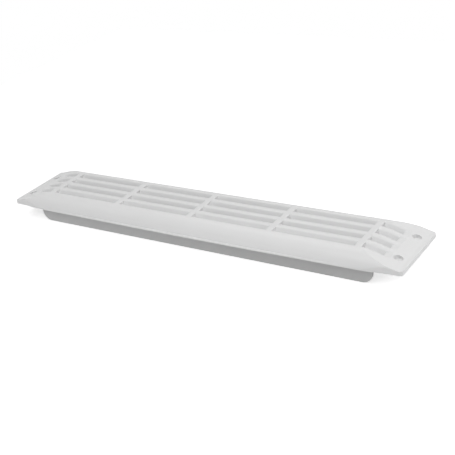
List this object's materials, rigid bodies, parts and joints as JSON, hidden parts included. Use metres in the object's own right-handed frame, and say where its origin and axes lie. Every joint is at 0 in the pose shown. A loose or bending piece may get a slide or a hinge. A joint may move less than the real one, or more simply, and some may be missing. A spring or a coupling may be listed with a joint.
{
  "type": "ventilation grille",
  "caption": "Long low louvred wall grille: crowned hood with sloping ends and screw tabs, angled blades over a fly screen, and two locating rails behind.",
  "frame": {"origin": "middle of the four wall screw holes, on the plane where the cover meets the wall", "axes": "+X along the grille; +Z out of the wall, towards the louvres; -Y is the edge that goes uppermost"},
  "size_m": [0.437, 0.0798, 0.0309],
  "materials": {
    "cover_plastic": "satin white moulding",
    "screen_mesh": "matt coated mesh",
    "frame_plastic": "plain white moulding",
    "rail_plastic": "satin white extrusion",
    "screw_steel": "plain stainless"
  },
  "bodies": {
    "root": {"louvre_cover": "cover_plastic", "insect_screen": "screen_mesh", "screen_frame": "frame_plastic", "front_rail": "rail_plastic", "rear_rail": "rail_plastic", "frame_screws": "screw_steel"}
  },
  "joints": []
}
